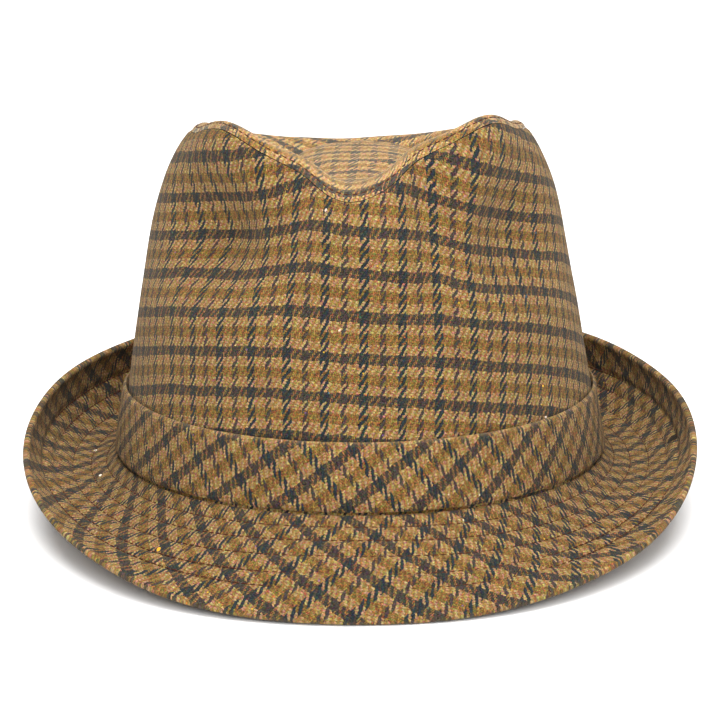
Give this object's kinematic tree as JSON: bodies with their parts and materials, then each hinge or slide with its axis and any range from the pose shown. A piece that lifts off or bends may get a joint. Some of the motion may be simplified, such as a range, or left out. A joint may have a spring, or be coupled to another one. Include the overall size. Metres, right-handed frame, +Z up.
{
  "type": "woven check trilby hat",
  "caption": "Short-brim cloth hat with a pinched, dented crown, a bias-cut band of the same check, and a brim snapped down in front and turned up behind; hollow inside.",
  "frame": {"origin": "on the surface the hat rests on, under the middle of its bounding box", "axes": "+Z up, the front of the hat towards -Y, the wearer's left towards +X; the hat rests tipped back on the front edge of its brim and on the underside of its turned-up back"},
  "size_m": [0.2408, 0.27, 0.1501],
  "materials": {
    "crown_cloth": "brushed wool twill in a tan, brown, charcoal and teal check",
    "tip_cloth": "brushed wool twill in a tan, brown, charcoal and teal check",
    "band_cloth": "the same check cut on the bias",
    "brim_cloth": "the same check, double and topstitched in rows"
  },
  "bodies": {
    "root": {"crown_side": "crown_cloth", "crown_tip": "tip_cloth", "hat_band": "band_cloth", "brim": "brim_cloth"}
  },
  "joints": []
}
